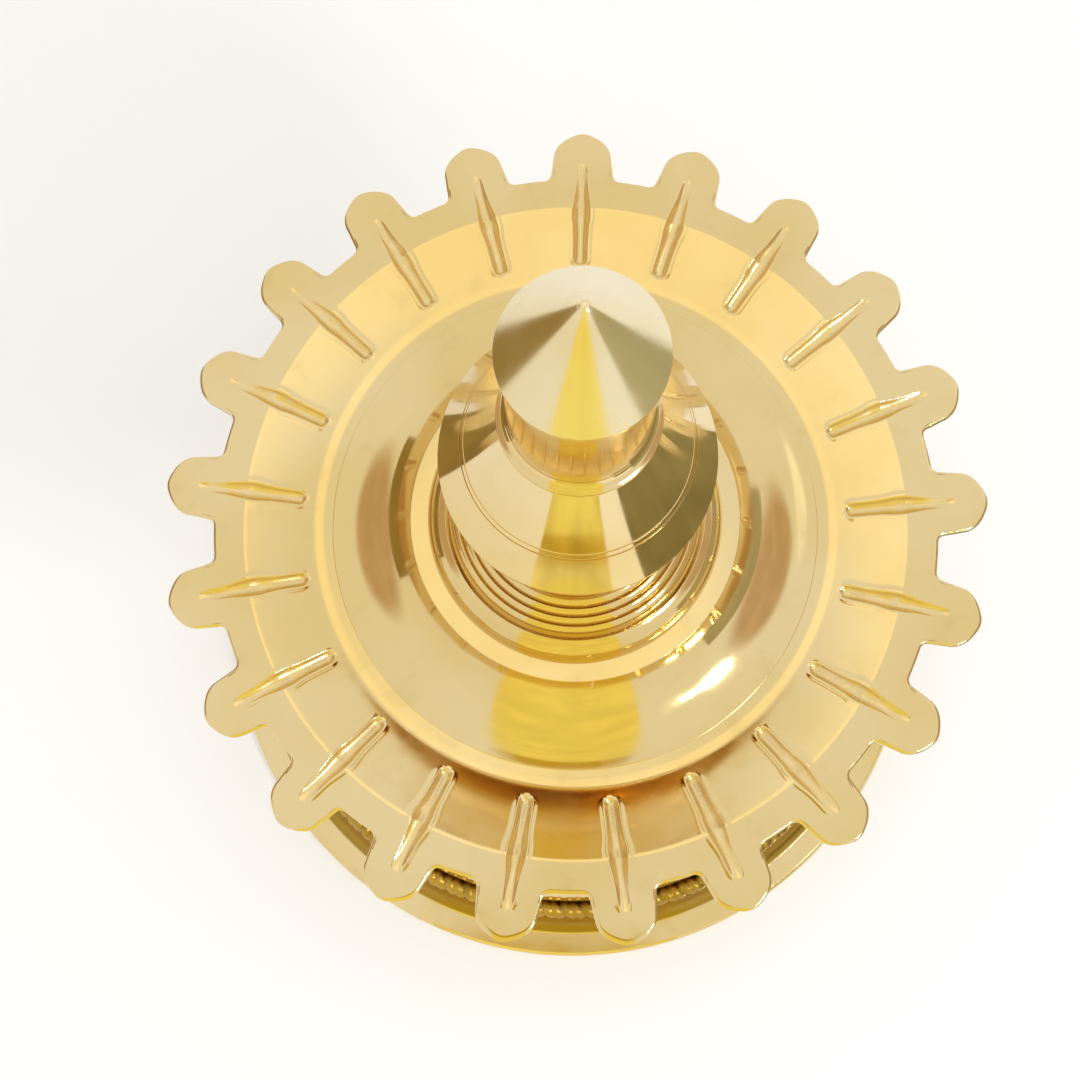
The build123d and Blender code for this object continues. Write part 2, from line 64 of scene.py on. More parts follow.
dish_low, dish_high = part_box("oil_dish")
DISH_RADIUS = dish_high.x  # centre to petal tip: one petal points along +X
RIM_HEIGHT = dish_high.z
DISH_UNDERSIDE = dish_low.z


# ---- Paths: lists of (radius, height) or (x, y) points ---------------------------------------


def section_of(node):
    """Half section of a turned CAD node, read where its mesh crosses the +X half plane.

    Returns the points in order, and whether they close on themselves. Flat rings and end faces
    have no mesh edge in that plane, so their two ends are joined here.
    """
    mesh = frame["nodes"][node].data
    flat = {}
    for vertex in mesh.vertices:
        if abs(vertex.co.y) < TINY and vertex.co.x > -TINY:
            flat[vertex.index] = (max(0.0, round(vertex.co.x, 6)), round(vertex.co.z, 6))
    links = {point: set() for point in flat.values()}
    for edge in mesh.edges:
        start, end = (flat.get(index) for index in edge.vertices)
        if start and end and start != end:
            links[start].add(end)
            links[end].add(start)
    loose = {}
    for point, joined in links.items():
        if len(joined) < 2 and point[0] > 0:
            loose.setdefault(point[1], []).append(point)
    for height, points in loose.items():
        points.sort()
        if len(points) % 2:
            centre = (0.0, height)
            links.setdefault(centre, set())
            points.insert(0, centre)
        for start, end in zip(points[::2], points[1::2]):
            links[start].add(end)
            links[end].add(start)
    on_axis = sorted(point for point in links if point[0] == 0 and len(links[point]) == 1)
    path = [on_axis[0] if on_axis else min(links)]
    while True:
        onward = [point for point in sorted(links[path[-1]]) if point not in path]
        if not onward:
            break
        path.append(onward[0])
    return [Vector(point) for point in path], not on_axis


def turn_at(before, point, after):
    """How far a path turns at a point."""
    return (point - before).angle(after - point, 0.0)


def fair_path(points, closed, step):
    """The same path with its arcs filled in, so that each chord becomes a smooth curve."""
    count = len(points)
    tangents = []
    for i, point in enumerate(points):
        inside = closed or 0 < i < count - 1
        before, after = points[i - 1], points[(i + 1) % count]
        if inside and turn_at(before, point, after) < CORNER_ANGLE:
            tangents.append((after - before).normalized())
        else:
            tangents.append(None)
    faired = []
    for i in range(count if closed else count - 1):
        start, end = points[i], points[(i + 1) % count]
        leaving, arriving = tangents[i], tangents[(i + 1) % count]
        chord = end - start
        along = chord.normalized()
        faired.append(start)
        if leaving is None and arriving is None:
            continue
        if leaving is None:
            leaving = 2 * arriving.dot(along) * along - arriving
        if arriving is None:
            arriving = 2 * leaving.dot(along) * along - leaving
        if leaving.angle(arriving, 0.0) < STRAIGHT_ANGLE:
            continue
        pieces = max(2, ceil(chord.length / step))
        for k in range(1, pieces):
            t = k / pieces
            faired.append(
                (2 * t**3 - 3 * t**2 + 1) * start
                + (t**3 - 2 * t**2 + t) * chord.length * leaving
                + (3 * t**2 - 2 * t**3) * end
                + (t**3 - t**2) * chord.length * arriving
            )
    if not closed:
        faired.append(points[-1])
    return faired


def eased_path(points, closed, radius, arc_points=4):
    """The same path with every corner rounded, and a point beside each arc to keep flats flat."""
    largest_share = 0.42  # of the shorter edge at a corner, so that two roundings never meet
    largest_turn = 3.0  # radians, short of a full turn back, where the tangent has no end
    beside = 0.3  # how far past an arc's end the point that keeps the flat stands, in cuts
    count = len(points)
    eased = []
    for i, point in enumerate(points):
        before, after = points[i - 1], points[(i + 1) % count]
        inside = closed or 0 < i < count - 1
        turn = turn_at(before, point, after) if inside else 0.0
        if turn < CORNER_ANGLE:
            eased.append(point)
            continue
        room = largest_share * min((point - before).length, (after - point).length)
        cut = min(radius * tan(min(turn, largest_turn) / 2), room)
        back = (before - point).normalized()
        ahead = (after - point).normalized()
        start, end = point + cut * back, point + cut * ahead
        eased.append(start + beside * cut * back)
        for k in range(arc_points + 1):
            t = k / arc_points
            eased.append((1 - t) ** 2 * start + 2 * t * (1 - t) * point + t**2 * end)
        eased.append(end + beside * cut * ahead)
    return eased


# ---- Meshes -----------------------------------------------------------------------------------


def grid_piece(name, rows, closed):
    """Smooth quad mesh over rows of points. Each row runs once round and joins up with itself."""
    rows = np.asarray(rows, float)
    count, steps = rows.shape[:2]
    index = np.arange(count * steps).reshape(count, steps)
    following = np.roll(index, -1, axis=0)
    if not closed:
        index, following = index[:-1], following[:-1]
    quads = np.stack(
        [index, np.roll(index, -1, 1), np.roll(following, -1, 1), following], axis=-1
    ).reshape(-1, 4)
    mesh = bpy.data.meshes.new(name)
    mesh.from_pydata(rows.reshape(-1, 3).tolist(), [], quads.tolist())
    shape = bmesh.new()
    shape.from_mesh(mesh)
    bmesh.ops.remove_doubles(shape, verts=shape.verts, dist=TINY)
    bmesh.ops.recalc_face_normals(shape, faces=shape.faces)
    for face in shape.faces:
        face.smooth = True
    shape.to_mesh(mesh)
    shape.free()
    piece = bpy.data.objects.new(name, mesh)
    bpy.context.scene.collection.objects.link(piece)
    return piece


def turned_rows(path, steps):
    """Rows of points for a half section turned round Z."""
    angles = np.arange(steps) * 2 * pi / steps
    return [
        np.stack([r * np.cos(angles), r * np.sin(angles), np.full(steps, z)], axis=-1)
        for r, z in path
    ]


def steps_round(radius):
    """Mesh steps round a turned piece: even chords, in a number that divides well."""
    chord = 3 * MM
    multiple = 16
    fewest = 96
    most = 384
    wanted = multiple * ceil(2 * pi * radius / chord / multiple)
    return min(most, max(fewest, wanted))


def finish_piece(piece, node, body, material):
    """Puts a new piece in the place of its CAD node."""
    piece.data.materials.append(material)
    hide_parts(node)
    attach(piece, body)
    return piece


def body_of_node(node):
    """The body that a CAD node belongs to."""
    return next(
        body for body, nodes in frame["record"]["behaviour"]["bodies"].items() if node in nodes
    )


def turned_piece(node, material):
    """A turned CAD node turned again with full arcs and eased edges."""
    arc_step = 1.2 * MM
    edge_radius = 0.35 * MM
    points, closed = section_of(node)
    path = fair_path(points, closed, arc_step)
    path = eased_path(path, closed, edge_radius)
    radius = max(point.x for point in path)
    piece = grid_piece(f"{node}_turned", turned_rows(path, steps_round(radius)), closed)
    return finish_piece(piece, node, body_of_node(node), material)


# ---- Materials ---------------------------------------------------------------------------------

# The first colour is paler and cooler: painted cool light, used on the finial.
COOL_LIT_BRASS = (0.84, 0.735, 0.48)
PALE_BRASS = (0.80, 0.635, 0.33)
WARM_BRASS = (0.76, 0.575, 0.25)
# The next two colours also stand in for painted shade: both on the rope, the brown one on the
# base's wall as well; the olive one is also the machined brass's own darker tone.
OLIVE_BRASS_AND_SHADE = (0.52, 0.34, 0.07)
PAINTED_SHADE_BROWN = (0.38, 0.235, 0.035)
FLANGE_TOP = 7.6 * MM  # where the base's polished flange ends and the painted shade on its rougher wall begins


class Nodes:
    """Short way to write a material's node tree."""

    def __init__(self, material):
        self.tree = material.node_tree

    def add(self, kind, inputs=None, **settings):
        node = self.tree.nodes.new(kind)
        for key, value in settings.items():
            setattr(node, key, value)
        for key, value in (inputs or {}).items():
            if isinstance(value, bpy.types.NodeSocket):
                self.tree.links.new(value, node.inputs[key])
            else:
                node.inputs[key].default_value = value
        return node

    def math(self, operation, a, b=0.0):
        return self.add("ShaderNodeMath", {0: a, 1: b}, operation=operation).outputs[0]

    def remap(self, value, low, high, to_low=0.0, to_high=1.0):
        """Eases a value from one range into another."""
        ranges = {"From Min": low, "From Max": high, "To Min": to_low, "To Max": to_high}
        inputs = {"Value": value, **ranges}
        return self.add("ShaderNodeMapRange", inputs, interpolation_type="SMOOTHSTEP").outputs[0]

    def mix(self, factor, a, b):
        """Blends two colours. The Mix node has its colour sockets after those for numbers."""
        node = self.add("ShaderNodeMix", data_type="RGBA")
        sockets = (node.inputs[0], node.inputs[6], node.inputs[7])
        for socket, value in zip(sockets, (factor, a, b)):
            if isinstance(value, bpy.types.NodeSocket):
                self.tree.links.new(value, socket)
            else:
                socket.default_value = value
        return node.outputs[2]

    def noise(self, vector, scale, detail=3.0, roughness=0.5):
        """Noise with a scale in waves per metre."""
        inputs = {"Vector": vector, "Scale": scale, "Detail": detail, "Roughness": roughness}
        return self.add("ShaderNodeTexNoise", inputs).outputs["Fac"]


def brass(name, light, dark, shine, cut_lines, grain, tarnish_and_shade, painted_shade_band=None, dull_groove=False):
    """Brass with tool marks round the lamp's axis, smudges, worn edges, and patina with painted
    shade in recesses.

    light and dark are the two brass colours, shine the least and most roughness, cut_lines and
    grain the heights of the tool marks and of the cast grain, and the darkening weight how dark
    stains and recesses get, the recesses with patina and painted shade.
    The band, if given, is a pair of heights between which the wall gets painted shade and a rougher
    finish, and dull_groove says whether the mesh marks wick grooves that the polishing wheel didn't
    reach.
    """
    material = bpy.data.materials.new(name)
    material.use_nodes = True
    n = Nodes(material)
    n.tree.nodes.clear()
    place = n.add("ShaderNodeTexCoord").outputs["Object"]
    x, y, z = n.add("ShaderNodeSeparateXYZ", {0: place}).outputs
    radius = n.math("SQRT", n.math("ADD", n.math("MULTIPLY", x, x), n.math("MULTIPLY", y, y)))
    turning = n.add("ShaderNodeCombineXYZ", {0: radius, 1: z}).outputs[0]

    clouds = n.noise(place, 14.0, 4.0)
    patches = n.noise(place, 55.0, 5.0, 0.6)
    lines = n.noise(turning, 2600.0, 2.0)
    rings = n.noise(turning, 420.0, 2.0)
    specks = n.noise(place, 900.0, 3.0, 0.6)

    # Pointiness is 0.5 on a flat face, more on an edge and less in a hollow. Hollows get patina and
    # painted shade.
    edge = n.add("ShaderNodeNewGeometry").outputs["Pointiness"]
    worn = n.remap(edge, 0.51, 0.56)
    recess_patina_and_shade = n.remap(edge, 0.49, 0.44)

    colour = n.mix(n.remap(clouds, 0.35, 0.65), (*light, 1), (*dark, 1))
    stain_and_shade_share = 0.42
    patch_share = 0.35
    stain_and_shade_colour = tuple(stain_and_shade_share * c for c in dark)
    stained = n.math("MULTIPLY", n.remap(patches, 0.56, 0.78), patch_share * tarnish_and_shade)
    colour = n.mix(stained, colour, (*stain_and_shade_colour, 1))
    # Recesses darken with patina and painted shade.
    colour = n.mix(n.math("MULTIPLY", recess_patina_and_shade, tarnish_and_shade), colour, (*stain_and_shade_colour, 1))
    colour = n.mix(n.math("MULTIPLY", worn, 0.5), colour, (*light, 1))

    low, high = shine
    smudge = n.remap(patches, 0.4, 0.7, low, high)
    smudge = n.math("ADD", smudge, n.math("MULTIPLY", rings, 0.25 * (high - low)))
    smudge = n.math("ADD", smudge, n.math("MULTIPLY", worn, 0.04))

    # A band of the wall gets painted shade in a darker brown, and more roughness.
    if painted_shade_band:
        bottom, top = painted_shade_band
        above = n.remap(z, bottom, bottom + 1 * MM)
        below = n.remap(z, top, top + 3 * MM, 1.0, 0.0)
        painted_shade_mask = n.math("MULTIPLY", above, below)
        colour = n.mix(painted_shade_mask, colour, (*PAINTED_SHADE_BROWN, 1))
        smudge = n.math("ADD", smudge, n.math("MULTIPLY", painted_shade_mask, 0.12))
    if dull_groove:
        groove = n.add("ShaderNodeAttribute", attribute_name="groove").outputs["Fac"]
        streaks = n.remap(n.noise(place, 120.0, 3.0, 0.6), 0.35, 0.65)
        groove_colour = n.mix(streaks, (*WARM_BRASS, 1), (*PALE_BRASS, 1))
        colour = n.mix(n.math("MULTIPLY", groove, 0.8), colour, groove_colour)
        smudge = n.math("ADD", smudge, n.math("MULTIPLY", groove, 0.20))

    fine_marks = n.math("MULTIPLY", lines, cut_lines)
    coarse_marks = n.math("MULTIPLY", rings, 0.6 * cut_lines)
    relief = n.math("ADD", fine_marks, coarse_marks)
    relief = n.math("ADD", relief, n.math("MULTIPLY", specks, grain))
    bump = n.add("ShaderNodeBump", {"Strength": 1.0, "Distance": 1.0, "Height": relief})
    surface = n.add(
        "ShaderNodeBsdfPrincipled",
        {"Base Color": colour, "Metallic": 1.0, "Roughness": smudge, "Normal": bump.outputs[0]},
    )
    n.add("ShaderNodeOutputMaterial", {"Surface": surface.outputs[0]})
    return material


polished_brass = brass(
    "polished_brass",
    PALE_BRASS,
    WARM_BRASS,
    shine=(0.06, 0.13),
    cut_lines=0.4 * MICRON,
    grain=0.4 * MICRON,
    tarnish_and_shade=0.35,
)
dish_brass = brass(
    "dish_brass",
    PALE_BRASS,
    WARM_BRASS,
    shine=(0.06, 0.13),
    cut_lines=0.4 * MICRON,
    grain=0.4 * MICRON,
    tarnish_and_shade=0.35,
    dull_groove=True,
)
rope_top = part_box("base_rope_band")[1].z
# The base's wall between its flange and the rope gets painted shade.
bell_brass = brass(
    "bell_brass",
    PALE_BRASS,
    WARM_BRASS,
    shine=(0.07, 0.14),
    cut_lines=0.4 * MICRON,
    grain=0.8 * MICRON,
    tarnish_and_shade=0.5,
    painted_shade_band=(FLANGE_TOP, rope_top),
)
# The finial's paler colour is painted cool light from behind; its higher roughness is a satin
# finish.
satin_brass = brass(
    "satin_brass",
    COOL_LIT_BRASS,
    PALE_BRASS,
    shine=(0.20, 0.28),
    cut_lines=1.2 * MICRON,
    grain=0.0,
    tarnish_and_shade=0.3,
)
# The rope's dark olive and brown colours are painted shade; its roughness and grain are those of a
# casting.
cast_brass = brass(
    "cast_brass",
    OLIVE_BRASS_AND_SHADE,
    PAINTED_SHADE_BROWN,
    shine=(0.32, 0.45),
    cut_lines=0.0,
    grain=5 * MICRON,
    tarnish_and_shade=0.9,
)
machined_brass = brass(
    "machined_brass",
    PALE_BRASS,
    OLIVE_BRASS_AND_SHADE,
    shine=(0.16, 0.28),
    cut_lines=4 * MICRON,
    grain=1.0 * MICRON,
    tarnish_and_shade=0.6,
)


# ---- Turned pieces -----------------------------------------------------------------------------

POLISHED_NODES = (
    "lower_disc",
    "lower_vase",
    "lower_cap_ring",
    "middle_disc",
    "middle_spool",
    "dish_cup",
    "dish_centre_cone",
    "stem_foot",
    "waist_spool",
    "bell_skirt",
    "neck_sleeve",
)
for node in POLISHED_NODES:
    turned_piece(node, polished_brass)
turned_piece("base_bell", bell_brass)
turned_piece("finial_cone", satin_brass)
turned_piece("base_thread_bush", machined_brass)


# ---- Threaded studs ----------------------------------------------------------------------------


def threaded_stud(node):
    """Stud with a rolled right-hand thread between its chamfered ends."""
    low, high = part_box(node)
    crest = high.x
    depth = 0.6 * THREAD_PITCH
    flat_crest = 0.8  # below 1, so that the crests are wider than the valleys
    chamfer = 1.5 * MM
    steps = 64
    rows_per_turn = 8
    angles = np.arange(steps) * 2 * pi / steps
    rows = [np.tile([0.0, 0.0, low.z], (steps, 1))]
    count = ceil((high.z - low.z) / THREAD_PITCH * rows_per_turn)
    for k in range(count + 1):
        z = low.z + (high.z - low.z) * k / count
        wave = 0.5 + 0.5 * np.cos(2 * pi * (z / THREAD_PITCH) - angles)
        from_end = min(z - low.z, high.z - z)
        limit = crest - max(0.0, chamfer - from_end)
        r = np.minimum(crest - depth * (1 - wave**flat_crest), limit)
        rows.append(np.stack([r * np.cos(angles), r * np.sin(angles), np.full(steps, z)], -1))
    rows.append(np.tile([0.0, 0.0, high.z], (steps, 1)))
    piece = grid_piece(f"{node}_threaded", rows, False)
    return finish_piece(piece, node, body_of_node(node), machined_brass)


for node in ("lower_stud", "middle_stud", "dish_stud", "finial_stud"):
    threaded_stud(node)


# ---- Rope border -------------------------------------------------------------------------------


def rope_border(node):
    """Twisted rope that lies round the base: slanted lobes that wrap right round its section."""
    low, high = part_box(node)
    strands = 96
    twist = 1  # how many lobes a strand moves on as it wraps once round the rope
    half_height = (high.z - low.z) / 2
    half_width = 5.6 * MM
    ring_radius = high.x - half_width
    middle = (low.z + high.z) / 2
    lobe_depth = 2.6 * MM
    roundness = 0.96  # below 1, so that the sides of a lobe stay short of upright
    ply_depth = 0.9 * MM  # each strand is two plies with a nick between them
    ply_width = 0.2  # of half a strand
    steps_per_strand = 20
    steps_across = 44
    samples = steps_per_strand * strands
    angles = np.arange(samples) * 2 * pi / samples
    rows = []
    for minor in np.arange(steps_across) * 2 * pi / steps_across:
        phase = (strands * angles + twist * minor) / (2 * pi)
        across = 2 * (phase - np.floor(phase)) - 1
        sunk = lobe_depth * (1 - np.sqrt(1 - (roundness * across) ** 2))
        sunk = sunk + ply_depth * np.exp(-((across / ply_width) ** 2))
        r = ring_radius + (half_width - sunk) * cos(minor)
        z = middle + (half_height - sunk) * sin(minor)
        rows.append(np.stack([r * np.cos(angles), r * np.sin(angles), z], -1))
    piece = grid_piece(f"{node}_twisted", rows, True)
    return finish_piece(piece, node, body_of_node(node), cast_brass)


rope_border("base_rope_band")


# ---- Oil dish ----------------------------------------------------------------------------------

DISH_WALL = 4.2 * MM
DISH_DEPTH = RIM_HEIGHT - DISH_UNDERSIDE - DISH_WALL
VALLEY_RADIUS = 0.875 * DISH_RADIUS
RIM_INNER_RADIUS = 0.80 * DISH_RADIUS
FLOOR_RADIUS = 0.66 * DISH_RADIUS
CREASE_DROP = 6.4 * MM  # how far the bowl's wall falls between those two radii
COVE_WIDTH = 5.0 * MM  # of the soft curve between wall and floor
WALL_SLOPE = CREASE_DROP / (RIM_INNER_RADIUS - FLOOR_RADIUS)
WALL_FOOT = RIM_INNER_RADIUS - DISH_DEPTH / WALL_SLOPE  # where the wall's line meets the floor
HALF_PERIOD = pi / PETALS
EDGE_ROUND = 1.3 * MM
RIM_EASE = 0.5 * MM  # the corner between bowl and rim is rounded off this far to each side of it

GROOVE_START = FLOOR_RADIUS + 0.6 * MM  # a wick groove's end in the bowl
GROOVE_END = 0.916 * DISH_RADIUS  # its end on the petal
GROOVE_ZONE = 5.4 * MM  # the mesh is fine and square this far to each side of a groove's middle
GROOVE_COLUMNS = 14  # mesh columns from a groove's middle to the side of its zone
OUTER_COLUMNS = 26  # and from there to the middle of a notch


def petal_outline():
    """Half outline of the dish edge, from a petal's tip (y = 0) to the middle of a notch."""
    length = DISH_RADIUS - VALLEY_RADIUS
    half_width = 11.6 * MM
    half_root = 12.8 * MM
    tip_rounding = 2.6 * MM
    root_rounding = 2.4 * MM
    side_steps = 16
    tip = Vector((DISH_RADIUS, 0))
    flank = Vector((DISH_RADIUS - 0.22 * length, 0.74 * half_width))
    shoulder = Vector((VALLEY_RADIUS + 0.46 * length, half_width))
    side = []
    for k in range(side_steps + 1):
        t = k / side_steps
        # A quadratic through tip, flank and shoulder, with the flank reached half way.
        side.append(
            (1 - t) * (1 - 2 * t) * tip + 4 * t * (1 - t) * flank + t * (2 * t - 1) * shoulder
        )
    root_angle = half_root / VALLEY_RADIUS
    root = VALLEY_RADIUS * Vector((cos(root_angle), sin(root_angle)))
    valley_angles = np.linspace(root_angle, HALF_PERIOD, 9)[1:]
    valley = [VALLEY_RADIUS * Vector((cos(angle), sin(angle))) for angle in valley_angles]
    half = side + [root] + valley
    mirrored = [Vector((p.x, -p.y)) for p in reversed(half[1:])]
    whole = mirrored + half
    smooth = round_corner(whole, len(mirrored), tip_rounding)
    smooth = round_corner(smooth, nearest(smooth, root), root_rounding)
    return [p for p in smooth if p.y > -TINY]


def nearest(points, target):
    """Index of the point closest to a target."""
    return min(range(len(points)), key=lambda i: (points[i] - target).length)


def round_corner(points, index, reach, pieces=10):
    """Rounds one corner of a path, starting and ending at a reach to each side of it."""
    corner = points[index]
    before = [p for p in points[:index] if (p - corner).length > reach]
    after = [p for p in points[index + 1 :] if (p - corner).length > reach]
    start = corner + reach * (before[-1] - corner).normalized()
    end = corner + reach * (after[0] - corner).normalized()
    arc = [
        (1 - t) ** 2 * start + 2 * t * (1 - t) * corner + t**2 * end
        for t in (k / pieces for k in range(pieces + 1))
    ]
    return before + arc + after


def outline_columns(outline):
    """Picks the outline point and normal that each mesh column of half a petal ends on."""
    points = np.array([tuple(p) for p in outline])
    steps = np.hypot(*np.diff(points, axis=0).T)
    run = np.concatenate([[0], np.cumsum(steps)])
    zone_end = np.interp(GROOVE_ZONE, points[:, 1], run)
    groove_runs = np.interp(np.linspace(0, GROOVE_ZONE, GROOVE_COLUMNS + 1), points[:, 1], run)
    outer_runs = np.linspace(zone_end, run[-1], OUTER_COLUMNS + 1)[1:]
    runs = np.concatenate([groove_runs, outer_runs])

    def places(at):
        return np.stack([np.interp(at, run, points[:, k]) for k in (0, 1)], -1)

    nudge = 0.4 * MM
    along = places(runs + nudge) - places(runs - nudge)
    along[0] = (0, 1)
    along[-1] = (-sin(HALF_PERIOD), cos(HALF_PERIOD))
    outward = np.stack([along[:, 1], -along[:, 0]], -1)
    outward /= np.hypot(*outward.T)[:, None]
    return places(runs), outward


def column_points(radius):
    """Points of half a petal's columns on a circle: straight beside the groove, then fanned out."""
    beside = np.linspace(0, GROOVE_ZONE, GROOVE_COLUMNS + 1)
    angles = np.arcsin(beside / radius)
    fan = angles[-1] + (HALF_PERIOD - angles[-1]) * np.linspace(0, 1, OUTER_COLUMNS + 1)[1:]
    angles = np.concatenate([angles, fan])
    return np.stack([radius * np.cos(angles), radius * np.sin(angles)], -1)


def bowl_height(radius):
    """Height of the dish's upper face, without grooves: flat floor, cove, straight wall and rim."""
    floor = RIM_HEIGHT - DISH_DEPTH
    over = RIM_HEIGHT - WALL_SLOPE * (RIM_INNER_RADIUS - radius) - floor
    ease = WALL_SLOPE * COVE_WIDTH / 2
    cove = np.clip(over + ease, 0, 2 * ease) ** 2 / (4 * ease)
    return np.minimum(floor + np.where(over < ease, cove, over), RIM_HEIGHT)


def groove_depth(x, y):
    """How far the wick groove sinks the surface, with a soft raised lip along its edges.

    The groove is a round-bottomed channel with a blunt end in the bowl. It swells where it crosses
    the corner between bowl and rim, and runs out on the petal.
    """
    bowl_end = 2.6 * MM  # lengths over which the groove's ends, its run out and its swell build up
    petal_end = 3.5 * MM
    run_out_length = 14.0 * MM
    swell_reach = 6.0 * MM
    wall_reach = 4.0 * MM
    lip_height = 0.16 * MM
    lip_place = 1.25  # lip_place and lip_width are in half widths of the groove
    lip_width = 0.32
    inner = np.clip((x - GROOVE_START) / bowl_end, 0, 1)
    outer = np.clip((GROOVE_END - x) / petal_end, 0, 1)
    ends = np.sqrt(1 - (1 - inner) ** 2) * np.sqrt(1 - (1 - outer) ** 2)
    swell = np.exp(-(((x - RIM_INNER_RADIUS) / swell_reach) ** 2))
    on_wall = np.clip((RIM_INNER_RADIUS - x) / wall_reach, 0, 1)
    half_width = (2.2 * MM + 0.5 * MM * on_wall + 1.1 * MM * swell) * np.sqrt(ends) + TINY
    run_out = np.clip((GROOVE_END - x) / run_out_length, 0, 1)
    depth = (0.5 * MM + 1.1 * MM * run_out + 0.4 * MM * on_wall + 0.8 * MM * swell) * ends
    across = np.abs(y) / half_width
    trough = np.clip(1 - across**2, 0, 1) ** 0.8
    lip = lip_height * ends * np.exp(-(((across - lip_place) / lip_width) ** 2))
    return depth * trough - lip


def dish_rows():
    """Rows of half a petal's points: floor, bowl, rim, rounded edge and underside."""
    edge, outward = outline_columns(petal_outline())
    shoulder = edge - EDGE_ROUND * outward
    rows = []

    def add_row(flat, height):
        rows.append(np.column_stack([flat, np.broadcast_to(height, len(flat))]))

    bore = frame_bore("oil_dish")
    rim_radii = RIM_INNER_RADIUS + np.array([-1.0, -0.4, 0.0, 0.4, 1.0]) * RIM_EASE
    inner = [bore, bore + 1 * MM, 0.3 * DISH_RADIUS, 0.5 * DISH_RADIUS]
    cove = np.linspace(WALL_FOOT - COVE_WIDTH / 2, WALL_FOOT + COVE_WIDTH / 2, 10)
    bowl = np.linspace(cove[-1], rim_radii[0], 30)
    for radius in [*inner, *cove, *bowl[1:], *rim_radii[1:]]:
        flat = column_points(radius)
        height = bowl_height(radius) - groove_depth(flat[:, 0], flat[:, 1])
        if radius in rim_radii:
            height = height - rim_ease(radius)
        add_row(flat, height)
    start = column_points(rim_radii[-1])
    for t in np.linspace(0, 1, 25)[1:]:
        flat = start + t * (shoulder - start)
        add_row(flat, RIM_HEIGHT - groove_depth(flat[:, 0], flat[:, 1]))
    for angle in np.radians([18, 36, 54, 72, 90]):
        inset = EDGE_ROUND * (1 - sin(angle))
        add_row(edge - inset * outward, RIM_HEIGHT - EDGE_ROUND * (1 - cos(angle)))
    low = RIM_HEIGHT - DISH_WALL
    for angle in np.radians([0, 22, 45, 68, 90]):
        inset = EDGE_ROUND * (1 - cos(angle))
        add_row(edge - inset * outward, low + EDGE_ROUND * (1 - sin(angle)))
    under = column_points(RIM_INNER_RADIUS + 2 * MM)
    for t in np.linspace(0, 1, 7)[1:]:
        add_row(shoulder + t * (under - shoulder), low)
    add_row(column_points(FLOOR_RADIUS + 1 * MM), low - CREASE_DROP)
    add_row(column_points(FLOOR_RADIUS - COVE_WIDTH), DISH_UNDERSIDE)
    add_row(column_points(0.4 * DISH_RADIUS), DISH_UNDERSIDE)
    add_row(column_points(bore), DISH_UNDERSIDE)
    return rows


def rim_ease(radius):
    """How far the rounding of the corner between bowl and rim sinks it."""
    deepest = 0.05 * MM
    off = abs(radius - RIM_INNER_RADIUS) / RIM_EASE
    return deepest * (1 - off) ** 2


def frame_bore(node):
    """Radius of the hole through the middle of a CAD node."""
    return min(hypot(v.co.x, v.co.y) for v in frame["nodes"][node].data.vertices)


def oil_dish(node):
    """Dish with petals: half a petal's rows, mirrored and repeated round the axis."""
    turns = np.arange(PETALS) * 2 * pi / PETALS
    whole = []
    for row in dish_rows():
        mirrored = row[::-1] * (1, -1, 1)
        petal = np.concatenate([mirrored[1:-1], row])
        ring = [
            np.column_stack(
                [
                    petal[:, 0] * cos(turn) - petal[:, 1] * sin(turn),
                    petal[:, 0] * sin(turn) + petal[:, 1] * cos(turn),
                    petal[:, 2],
                ]
            )
            for turn in turns
        ]
        whole.append(np.concatenate(ring))
    piece = grid_piece(f"{node}_petalled", whole, True)
    mark_grooves(piece)
    return finish_piece(piece, node, body_of_node(node), dish_brass)


def mark_grooves(piece):
    """Marks each point of the dish with how deep in a wick groove it is, for the material."""
    x, y, z = np.array([vertex.co[:] for vertex in piece.data.vertices]).T
    radius = np.hypot(x, y)
    angle = (np.arctan2(y, x) + HALF_PERIOD) % (2 * HALF_PERIOD) - HALF_PERIOD
    depth = groove_depth(radius * np.cos(angle), radius * np.sin(angle))
    upper = z > bowl_height(radius) - 0.85 * DISH_WALL  # only the upper face has grooves
    marks = piece.data.attributes.new("groove", "FLOAT", "POINT")
    marks.data.foreach_set("value", np.clip(upper * depth / MM, 0, 1).astype(np.float32))


oil_dish("oil_dish")


# ---- Floor, light and camera -------------------------------------------------------------------

CAMERA_TURN = radians(-5.7)  # sets the petals round the lamp as the camera sees them


def stage_sheet(name, faces, material):
    """Flat faces through their corners, part of the stage and not of the lamp."""
    shape = bmesh.new()
    for corners in faces:
        shape.faces.new([shape.verts.new(corner) for corner in corners])
    mesh = bpy.data.meshes.new(name)
    shape.to_mesh(mesh)
    shape.free()
    mesh.materials.append(material)
    sheet = bpy.data.objects.new(name, mesh)
    bpy.context.scene.collection.objects.link(sheet)
    return sheet


def square(centre, reach):
    """Corners of a level square."""
    x, y, z = centre
    return [(x + reach * a, y + reach * b, z) for a, b in ((-1, -1), (1, -1), (1, 1), (-1, 1))]


def floor():
    """Pale floor, wide enough to fill any view."""
    material = bpy.data.materials.new("pale_floor")
    material.use_nodes = True
    n = Nodes(material)
    n.tree.nodes.clear()
    paint = {"Base Color": (0.95, 0.945, 0.93, 1), "Roughness": 0.9}
    surface = n.add("ShaderNodeBsdfPrincipled", paint)
    n.add("ShaderNodeOutputMaterial", {"Surface": surface.outputs[0]})
    reach = 6.0
    stage_sheet("floor", [square((0, 0, 0), reach)], material)


